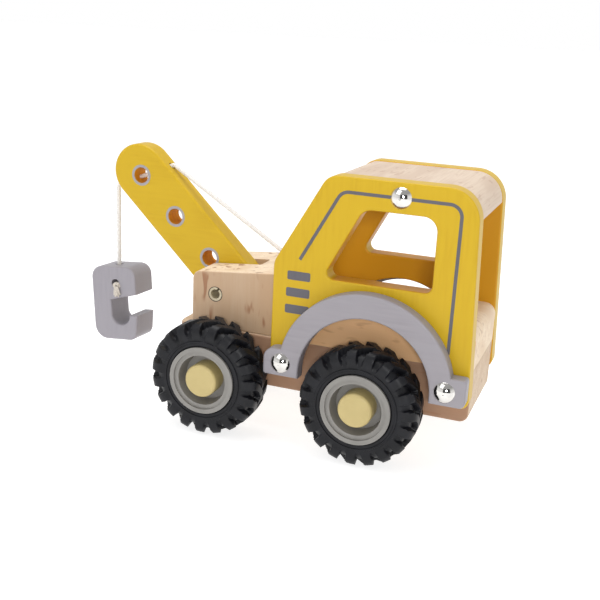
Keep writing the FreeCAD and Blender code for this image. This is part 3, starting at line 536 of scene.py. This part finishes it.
def tyre_mesh(name, axle_x, side, body):
    """A tyre whose lugs alternate from shoulder to shoulder, swept back over the tread."""
    half = list(TYRE_SECTION)
    first_in = half[-1][0][1]
    for i in range(1, MIDDLE_STEPS):
        inwards = first_in + (TYRE_WIDTH / 2 - first_in) * i / MIDDLE_STEPS
        half.append(((TREAD_RAD, inwards), (LUG_RAD, inwards)))
    section = [(base, top, -1) for base, top in half]
    section.append(((TREAD_RAD, TYRE_WIDTH / 2), (LUG_RAD, TYRE_WIDTH / 2), 1))
    section += [(base, top, 1) for base, top in reversed(half)]
    centre = Vector((axle_x, 0, joints["front_axle_spin"]["pos_m"][2]))
    vertices, side_grain_and_shade = [], []
    for k in range(STEPS_AROUND):
        turn = 2 * math.pi * k / STEPS_AROUND
        way = Vector((math.cos(turn), 0, math.sin(turn)))
        for base, top, shoulder in section:
            from_middle = TYRE_WIDTH / 2 - base[1]
            share = lug_here(turn, from_middle, top[0], 0.0 if shoulder < 0 else 0.5)
            share = max(share, lug_here(turn, -from_middle, top[0], 0.5 if shoulder < 0 else 0.0))
            radius = base[0] + (top[0] - base[0]) * share
            inwards = base[1] + (top[1] - base[1]) * share
            y = TYRE_INNER_Y + (inwards if shoulder < 0 else TYRE_WIDTH - inwards)
            vertices.append(centre + way * radius * MM + Vector((0, side * y * MM, 0)))
    count = len(section)
    for k in range(STEPS_AROUND):
        after = (k + 1) % STEPS_AROUND
        for i in range(count):
            j = (i + 1) % count
            quad = (k * count + i, k * count + j, after * count + j, after * count + i)
            side_grain_and_shade.append(quad if side > 0 else quad[::-1])
    piece = mesh_piece(name, vertices, side_grain_and_shade, looks["tyre"], body)
    smoothed(piece.data)
    piece.data.set_sharp_from_angle(angle=math.radians(38))
    return piece


for end, axle_x in (("front", FRONT_AXLE_X), ("rear", REAR_AXLE_X)):
    for side_name, side in SIDES.items():
        tyre = tyre_mesh(f"lugged_tyre_{end}_{side_name}", axle_x, side, f"{end}_wheels")
        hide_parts(f"tyre_{end}_{side_name}")


# ---------------------------------------------------------------- cord
CORD_RAD = 1.05 * MM
STRANDS = 3
TWIST_LENGTH = 3.4 * MM
CORD_AROUND = 24
CAP_STEPS = 5
# Where the cord's channel through the boom starts, on its back edge, and ends: run and height on the boom.
CHANNEL_START = boom_point(61.8 * MM, 13.3 * MM)
CHANNEL_END = boom_point(73.2 * MM, -12.91 * MM)
CHANNEL_OUT = (CHANNEL_START - CHANNEL_END).normalized()
OVER_START = CHANNEL_START + CHANNEL_OUT * 1.3 * MM


def curve_mesh(name, points, resolution, radius=0.0, radii=None):
    """The mesh of a quadratic NURBS curve: a bare line, or a round strand if a radius is given."""
    curve = bpy.data.curves.new(name, "CURVE")
    curve.dimensions = "3D"
    curve.resolution_u = resolution
    curve.bevel_depth = radius
    curve.bevel_resolution = 4
    curve.use_fill_caps = True
    spline = curve.splines.new("NURBS")
    spline.points.add(len(points) - 1)
    for i, (control, point) in enumerate(zip(spline.points, points)):
        control.co = (*point, 1.0)
        control.radius = radii[i] if radii else 1.0
    spline.order_u = 3
    spline.use_endpoint_u = True
    holder = bpy.data.objects.new(name, curve)
    bpy.context.scene.collection.objects.link(holder)
    bpy.context.view_layer.update()
    mesh = bpy.data.meshes.new_from_object(holder.evaluated_get(bpy.context.evaluated_depsgraph_get()))
    bpy.data.objects.remove(holder)
    return mesh


def evenly(line, step):
    """line resampled at about step apart."""
    lengths = [0.0]
    for a, b in zip(line, line[1:]):
        lengths.append(lengths[-1] + (b - a).length)
    count = max(2, round(lengths[-1] / step))
    made, i = [], 0
    for k in range(count + 1):
        at = lengths[-1] * k / count
        while i < len(line) - 2 and lengths[i + 1] < at:
            i += 1
        span = max(lengths[i + 1] - lengths[i], 1e-12)
        made.append(line[i].lerp(line[i + 1], (at - lengths[i]) / span))
    return made, lengths[-1]


def twisted_cord(name, points, round_start, round_end):
    """A tube of three twisted strands along a route in the XZ plane, closed with a half ball or flat."""
    route = curve_mesh(name + "_route", points, 24)
    line, length = evenly([v.co.copy() for v in route.vertices], 0.3 * MM)
    vertices, side_grain_and_shade = [], []

    def ring(centre, tangent, at, share):
        normal = Vector((0, 1, 0))
        other = tangent.cross(normal).normalized()
        for j in range(CORD_AROUND):
            angle = 2 * math.pi * j / CORD_AROUND
            lobe = abs(math.cos(STRANDS / 2 * (angle - 2 * math.pi * at / TWIST_LENGTH / STRANDS)))
            radius = CORD_RAD * (0.86 + 0.14 * lobe**0.6) * share
            vertices.append(centre + (normal * math.cos(angle) + other * math.sin(angle)) * radius)

    tangent = (line[1] - line[0]).normalized()
    if round_start:
        for k in range(1, CAP_STEPS):
            bend = math.pi / 2 * (1 - k / CAP_STEPS)
            ring(line[0] - tangent * CORD_RAD * math.sin(bend), tangent, 0.0, math.cos(bend))
    for i, point in enumerate(line):
        tangent = (line[min(i + 1, len(line) - 1)] - line[max(i - 1, 0)]).normalized()
        ring(point, tangent, length * i / (len(line) - 1), 1.0)
    if round_end:
        for k in range(1, CAP_STEPS):
            bend = math.pi / 2 * k / CAP_STEPS
            ring(line[-1] + tangent * CORD_RAD * math.sin(bend), tangent, length, math.cos(bend))
    rings = len(vertices) // CORD_AROUND
    for i in range(rings - 1):
        here, ahead = i * CORD_AROUND, (i + 1) * CORD_AROUND
        for j in range(CORD_AROUND):
            k = (j + 1) % CORD_AROUND
            side_grain_and_shade.append((here + j, here + k, ahead + k, ahead + j))
    side_grain_and_shade.append(tuple(range(CORD_AROUND))[::-1])
    side_grain_and_shade.append(tuple(range(len(vertices) - CORD_AROUND, len(vertices))))
    piece = mesh_piece(name, vertices, side_grain_and_shade, cord_look)
    smoothed(piece.data)
    return piece, line, length


ANCHOR = from_axle(24.9, 73.3)
HOLE_FLOOR = from_axle(24.9, 63.6)
stay_way = (OVER_START - ANCHOR).normalized()
turn_z = CHANNEL_START.z - (CHANNEL_START.x - CORD_PIVOT.x) * CHANNEL_OUT.z / CHANNEL_OUT.x
TURN = Vector((CORD_PIVOT.x, 0, turn_z))
upper_route = [
    HOLE_FLOOR,
    ANCHOR - Vector((0, 0, 2.0 * MM)),
    ANCHOR,
    ANCHOR + stay_way * 2.0 * MM,
    ANCHOR + stay_way * 12.0 * MM,
    OVER_START - stay_way * 12.0 * MM,
    OVER_START - stay_way * 1.5 * MM,
    OVER_START,
    CHANNEL_START,
    CHANNEL_START - CHANNEL_OUT * 8.0 * MM,
    TURN + CHANNEL_OUT * 6.0 * MM,
    TURN + CHANNEL_OUT * 2.5 * MM,
    TURN,
    TURN - Vector((0, 0, 2.6 * MM)),
    CORD_PIVOT,
]
upper, upper_line, upper_length = twisted_cord("cord_upper", upper_route, False, True)
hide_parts("cord_stay", "cord_in_boom")
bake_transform(upper)

# The hook hangs a little askew: turned about Y, and then about X.
HOOK_LEAN = math.radians(-5.2)
HOOK_PITCH = math.radians(-2.6)
hook_mouth = Vector(joints["hook_rock"]["pos_m"])
drop_route = [CORD_PIVOT.lerp(hook_mouth, share) for share in (0.0, 0.35, 0.7, 1.0)]
drop, drop_line, drop_length = twisted_cord("cord_drop_visible", drop_route, True, True)
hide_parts("cord_neck", "cord_drop", "cord_link")
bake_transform(drop)


# ---------------------------------------------------------------- knot in the hook
def on_hook(x, y, z):
    """A point of the hook, in millimetres from the mouth of its cord hole, square to the askew hook."""
    lean = Matrix.Rotation(HOOK_LEAN, 3, "Y") @ Matrix.Rotation(HOOK_PITCH, 3, "X")
    return hook_mouth + lean @ Vector((x, y, z)) * MM


def strand(name, points, radius, radii=None):
    """A round strand of the knot through some points."""
    mesh = curve_mesh(name, points, 10, radius, radii)
    piece = bpy.data.objects.new(name, mesh)
    bpy.context.scene.collection.objects.link(piece)
    mesh.materials.clear()
    # The knot takes the darker cotton, which holds painted shade.
    mesh.materials.append(knot_greyed_and_shaded_look)
    smoothed(mesh)
    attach(piece, "hook")
    return piece


# The hook's near face, and the knot's middle on it.
FACE = -8.3
KNOT_X = 3.1
KNOT_Z = -9.3
below = hook_mouth - Vector((0, 0, 7.0 * MM))
inner_run = [hook_mouth, hook_mouth.lerp(below, 0.5), below]
inner_run += [on_hook(0.6, -0.6, -9.2), on_hook(2.3, FACE + 0.6, -8.6)]
loop = []
LOOP_STEPS = 14
LOOP_TURNS = 1.25
for i in range(LOOP_STEPS + 1):
    angle = 2 * math.pi * i / LOOP_STEPS * LOOP_TURNS + 0.6
    out = FACE - 0.15 - 0.6 * math.sin(angle * 0.8)
    loop.append(on_hook(KNOT_X + 1.2 * math.cos(angle), out, KNOT_Z + 1.05 * math.sin(angle)))
knot_pieces = [
    strand("knot_lead", inner_run, CORD_RAD),
    strand("knot_loop", loop, CORD_RAD * 0.75),
]
# The frayed tails: how far each one spreads sideways, its length and how far it stands out.
TAILS = ((-1.1, 4.3, 0.1), (-0.45, 5.1, -0.3), (0.25, 4.6, -0.45), (0.85, 5.2, -0.1), (1.45, 4.0, 0.1))
TAIL_TOP = KNOT_Z - 0.4
for number, (sideways, length, out) in enumerate(TAILS, start=1):
    top = on_hook(KNOT_X + sideways * 0.45, FACE - 0.7, TAIL_TOP)
    middle = on_hook(KNOT_X + sideways * 0.9, FACE - 1.2 + out, TAIL_TOP - length * 0.5)
    foot = on_hook(KNOT_X + sideways * 1.3, FACE - 0.8 + out, TAIL_TOP - length)
    knot_pieces.append(strand(f"knot_tail_{number}", [top, middle, foot], CORD_RAD * 0.5, [1.1, 1.0, 0.7]))
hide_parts("hook_knot")


# ---------------------------------------------------------------- floor, light, camera
def area_light(name, where, aim, size, power):
    """A square white light, facing aim."""
    data = bpy.data.lights.new(name, "AREA")
    data.shape = "SQUARE"
    data.size = size
    data.energy = power
    light = bpy.data.objects.new(name, data)
    light.location = where
    light.rotation_mode = "QUATERNION"
    light.rotation_quaternion = (Vector(aim) - Vector(where)).to_track_quat("-Z", "Y")
    bpy.context.scene.collection.objects.link(light)


def flat_panel(name, size, location, aim, look):
    """A square plane of the studio, facing aim."""
    bpy.ops.mesh.primitive_plane_add(size=size, location=location)
    panel = bpy.context.object
    panel.name = name
    panel.rotation_mode = "QUATERNION"
    panel.rotation_quaternion = (Vector(aim) - Vector(location)).to_track_quat("Z", "Y")
    panel.data.materials.append(look)
    panel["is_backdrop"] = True
    return panel


floor_look, floor_shader, _, _ = new_material("StudioFloor", 0.8)
floor_shader.inputs["Base Color"].default_value = (0.5, 0.5, 0.5, 1)
floor_shader.inputs["Specular IOR Level"].default_value = 0.1
floor_shader.inputs["Emission Color"].default_value = (1, 1, 1, 1)
floor_shader.inputs["Emission Strength"].default_value = 0.75
flat_panel("studio_floor", 60.0, (0, 0, -0.0003), (0, 0, 1), floor_look)

# A dark panel that the camera doesn't see. It shades the truck's near side and shows in the nails.
flag_look, flag_shader, _, _ = new_material("StudioFlag", 0.9)
flag_shader.inputs["Base Color"].default_value = (0.02, 0.02, 0.02, 1)
flag = flat_panel("studio_flag", 1.75, (0.53, -1.38, 0.10), (0, 0, 0.10), flag_look)
flag.visible_camera = False

# The sky is white near the horizon and greyer overhead.
world = bpy.data.worlds.new("Studio")
bpy.context.scene.world = world
world.use_nodes = True
sky = world.node_tree
background = sky.nodes["Background"]
background.inputs["Color"].default_value = (1.0, 1.0, 1.0, 1)
direction = sky.nodes.new("ShaderNodeTexCoord")
height = sky.nodes.new("ShaderNodeSeparateXYZ")
sky.links.new(direction.outputs["Generated"], height.inputs[0])
fall = sky.nodes.new("ShaderNodeMapRange")
sky.links.new(height.outputs["Z"], fall.inputs["Value"])
for key, value in (("From Min", 0.22), ("From Max", 0.60), ("To Min", 1.0), ("To Max", 0.42)):
    fall.inputs[key].default_value = value
sky.links.new(fall.outputs["Result"], background.inputs["Strength"])

middle = (0, 0, 0.06)
area_light("key", (-0.35, -0.55, 0.75), middle, 0.6, 1.5)
area_light("camera_fill", (0.36, -0.98, 0.36), middle, 0.16, 4.0)
area_light("rear_fill", (0.75, 0.25, 0.55), middle, 0.5, 0.3)
area_light("top", (0.0, 0.1, 0.9), middle, 0.6, 5.3)

# The camera: azimuth round the truck from -Y towards +X, elevation and roll in degrees.
AZIMUTH, ELEVATION, ROLL = (math.radians(a) for a in (20.21, 16.40, 2.91))
FOCAL_PIXELS = 922.2
IMAGE_SIDE = 600
level = math.cos(ELEVATION)
back = Vector((math.sin(AZIMUTH) * level, -math.cos(AZIMUTH) * level, math.sin(ELEVATION)))
right = Vector((math.cos(AZIMUTH), math.sin(AZIMUTH), 0))
up = back.cross(right)
rolled_right = right * math.cos(ROLL) + up * math.sin(ROLL)
rolled_up = up * math.cos(ROLL) - right * math.sin(ROLL)
camera_data = bpy.data.cameras.new("Camera")
camera_data.sensor_width = 36.0
camera_data.lens = FOCAL_PIXELS / IMAGE_SIDE * camera_data.sensor_width
camera_data.clip_start, camera_data.clip_end = 0.01, 20.0
camera = bpy.data.objects.new("Camera", camera_data)
camera_turn = Matrix((rolled_right, rolled_up, back)).transposed().to_4x4()
camera.matrix_world = Matrix.Translation(from_axle(170.5, 177.18, -388.18)) @ camera_turn
bpy.context.scene.collection.objects.link(camera)
bpy.context.scene.camera = camera
bpy.context.scene.view_settings.view_transform = "Standard"

low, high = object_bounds()
